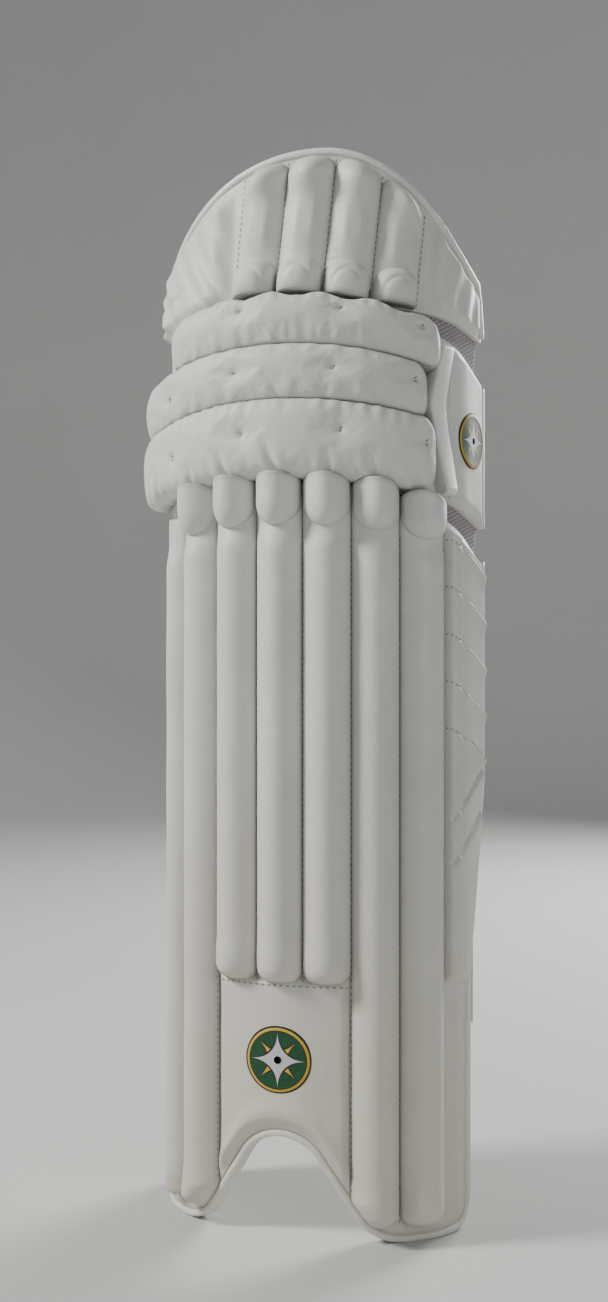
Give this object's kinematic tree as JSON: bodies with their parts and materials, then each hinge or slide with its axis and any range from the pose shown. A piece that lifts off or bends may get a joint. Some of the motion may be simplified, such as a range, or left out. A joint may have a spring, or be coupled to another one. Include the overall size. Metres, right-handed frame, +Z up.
{
  "type": "cricket leg pad",
  "caption": "Curved padded leg guard for batting with upright canes, a rolled knee, a top hat and hook-and-loop straps behind the leg.",
  "frame": {"origin": "middle of the overall box at the level of the two feet", "axes": "+Z up the leg as worn, -Y the striking front, +X the outer side with the deep wing"},
  "size_m": [0.2331, 0.1239, 0.69],
  "materials": {
    "white_leather": "soft-grained PU leather, satin",
    "white_lining": "smooth PU lining, satin",
    "embossed_lining": "PU lining embossed with a basket pattern",
    "spacer_mesh": "knitted spacer mesh, matt",
    "loop_fabric": "brushed loop fabric, matt",
    "hook_tape": "hook tape, matt",
    "webbing": "woven webbing, matt",
    "binding_tape": "PU edge binding, satin",
    "foam": "closed-cell foam",
    "cane": "split cane rod",
    "ring_plastic": "moulded nylon, gloss",
    "badge": "embroidered and printed badge",
    "print": "printed PU label"
  },
  "bodies": {
    "shin_guard": {"shin_foam_board": "foam", "shin_facing": "white_leather", "shin_lining": "embossed_lining", "shin_edge_binding": "binding_tape", "long_shin_canes": "white_leather", "short_shin_canes": "white_leather", "shin_cane_rods": "cane", "knee_cap_pads": "white_leather", "inner_edge_roll": "white_leather", "instep_panel": "white_leather", "instep_badge": "badge", "outer_wing_panel": "white_leather", "outer_wing_ribs": "white_leather", "shin_centre_panel": "white_lining", "outer_shin_bolster": "spacer_mesh", "inner_shin_bolster": "spacer_mesh", "shin_bolster_foams": "foam", "wing_side_rolls": "loop_fabric", "middle_loop_patch": "loop_fabric", "bottom_loop_patch": "loop_fabric", "middle_ring_keeper": "webbing", "bottom_ring_keeper": "webbing"},
    "knee_section": {"knee_foam_board": "foam", "knee_facing": "white_leather", "knee_lining": "white_lining", "knee_edge_binding": "binding_tape", "lower_knee_roll": "white_leather", "middle_knee_roll": "white_leather", "upper_knee_roll": "white_leather", "knee_roll_foams": "foam", "knee_side_frame": "white_leather", "knee_wing_panel": "white_leather", "wing_badge": "badge", "knee_cup_panel": "white_lining", "knee_side_pads": "spacer_mesh", "knee_pad_foams": "foam", "upper_loop_patch": "loop_fabric", "upper_ring_keeper": "webbing", "knee_bend_gussets": "loop_fabric"},
    "top_hat": {"hat_foam_board": "foam", "hat_facing": "white_leather", "hat_lining": "white_lining", "hat_edge_binding": "binding_tape", "hat_canes": "white_leather", "hat_cane_bulbs": "white_leather", "crest_badge": "badge", "hat_bend_gussets": "loop_fabric"},
    "upper_ring": {"upper_ring": "ring_plastic"},
    "upper_strap": {"upper_strap": "webbing"},
    "upper_tab": {"upper_strap_tab": "white_leather", "upper_hook_tape": "hook_tape"},
    "middle_ring": {"middle_ring": "ring_plastic"},
    "middle_strap": {"middle_strap": "webbing", "middle_strap_label": "print"},
    "middle_tab": {"middle_strap_tab": "white_leather", "middle_hook_tape": "hook_tape"},
    "bottom_ring": {"bottom_ring": "ring_plastic"},
    "bottom_strap": {"bottom_strap": "webbing"},
    "bottom_tab": {"bottom_strap_tab": "white_leather", "bottom_hook_tape": "hook_tape"}
  },
  "joints": [
    {"name": "knee_flex", "type": "hinge", "parent": "shin_guard", "child": "knee_section", "pos_m": [0.00492, -0.03469, 0.47782], "axis": [-1, 0, 0], "range_deg": [0, 11], "stiffness_Nm_per_rad": 8, "deforming": ["knee_bend_gussets"]},
    {"name": "hat_flex", "type": "hinge", "parent": "knee_section", "child": "top_hat", "pos_m": [0.00492, -0.03469, 0.58852], "axis": [-1, 0, 0], "range_deg": [0, 14], "stiffness_Nm_per_rad": 4, "deforming": ["hat_bend_gussets"]},
    {"name": "upper_ring_swing", "type": "hinge", "parent": "knee_section", "child": "upper_ring", "pos_m": [-0.08702, 0.05983, 0.479], "axis": [0, 0, 1], "range_deg": [0, 80]},
    {"name": "upper_strap_swing", "type": "hinge", "parent": "upper_ring", "child": "upper_strap", "pos_m": [-0.06702, 0.05983, 0.479], "axis": [0, 0, 1], "range_deg": [0, 100]},
    {"name": "upper_tab_peel", "type": "hinge", "parent": "upper_strap", "child": "upper_tab", "pos_m": [0.07267, 0.06378, 0.479], "axis": [0, 0, 1], "range_deg": [0, 65]},
    {"name": "middle_ring_swing", "type": "hinge", "parent": "shin_guard", "child": "middle_ring", "pos_m": [-0.08702, 0.05983, 0.352], "axis": [0, 0, 1], "range_deg": [0, 80]},
    {"name": "middle_strap_swing", "type": "hinge", "parent": "middle_ring", "child": "middle_strap", "pos_m": [-0.06702, 0.05983, 0.352], "axis": [0, 0, 1], "range_deg": [0, 100]},
    {"name": "middle_tab_peel", "type": "hinge", "parent": "middle_strap", "child": "middle_tab", "pos_m": [0.03467, 0.06378, 0.352], "axis": [0, 0, 1], "range_deg": [0, 65]},
    {"name": "bottom_ring_swing", "type": "hinge", "parent": "shin_guard", "child": "bottom_ring", "pos_m": [-0.08702, 0.05983, 0.16], "axis": [0, 0, 1], "range_deg": [0, 80]},
    {"name": "bottom_strap_swing", "type": "hinge", "parent": "bottom_ring", "child": "bottom_strap", "pos_m": [-0.06702, 0.05983, 0.16], "axis": [0, 0, 1], "range_deg": [0, 100]},
    {"name": "bottom_tab_peel", "type": "hinge", "parent": "bottom_strap", "child": "bottom_tab", "pos_m": [0.06067, 0.06378, 0.16], "axis": [0, 0, 1], "range_deg": [0, 65]}
  ]
}
